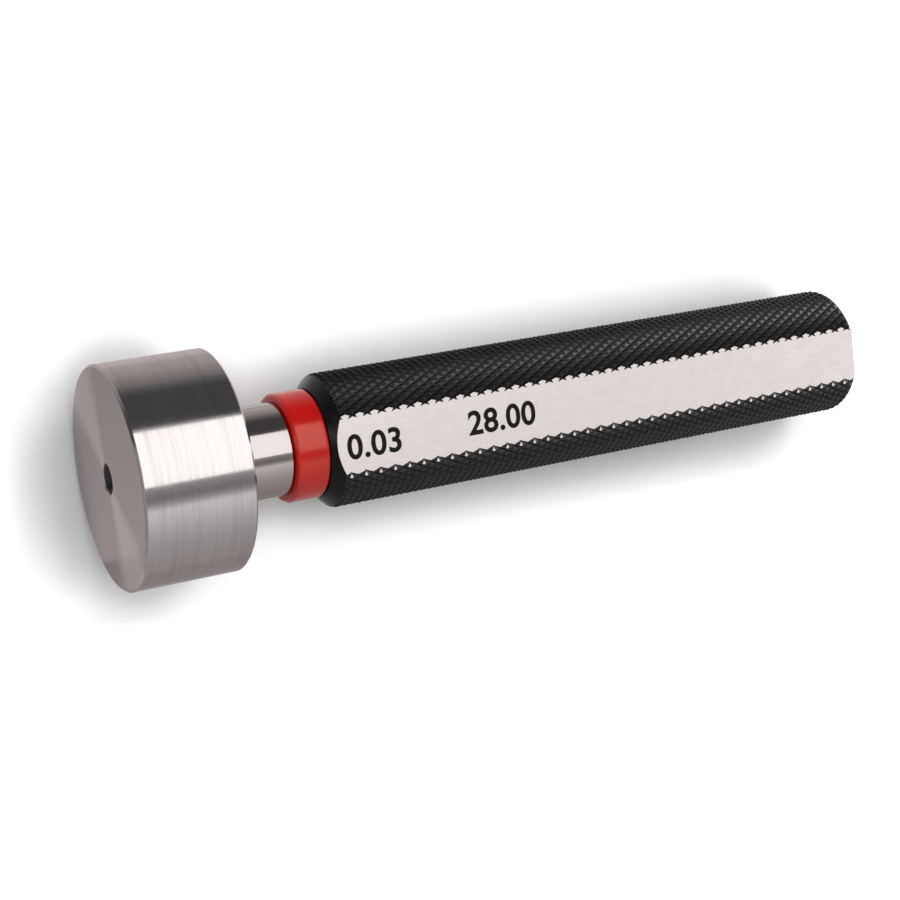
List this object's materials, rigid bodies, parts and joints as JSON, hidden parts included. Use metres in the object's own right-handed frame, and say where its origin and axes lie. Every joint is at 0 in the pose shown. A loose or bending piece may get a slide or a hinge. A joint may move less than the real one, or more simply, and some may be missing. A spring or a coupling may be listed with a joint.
{
  "type": "plug gauge",
  "caption": "Reject plug gauge: wide ground steel gauging cylinder on a neck, red marker ring, and a knurled black handle with a milled flat, held by a self-holding taper.",
  "frame": {"origin": "middle of the gauging cylinder, on the gauge's axis", "axes": "+X along the gauge's axis from the head to the handle; +Z out of the handle's milled flat; +Y to the side"},
  "size_m": [0.1065, 0.028, 0.028],
  "materials": {
    "ground_steel": "hardened steel, ground and lapped",
    "marker_red": "red moulded plastic, satin",
    "black_anodised": "diamond knurl, black anodised, with a bare milled flat"
  },
  "bodies": {
    "grip": {"handle": "black_anodised"},
    "member": {"gauging_member": "ground_steel", "marker_ring": "marker_red"}
  },
  "joints": [
    {"name": "member_release", "type": "slide", "parent": "grip", "child": "member", "axis": [-1, 0, 0], "range_m": [0, 0.03]}
  ]
}
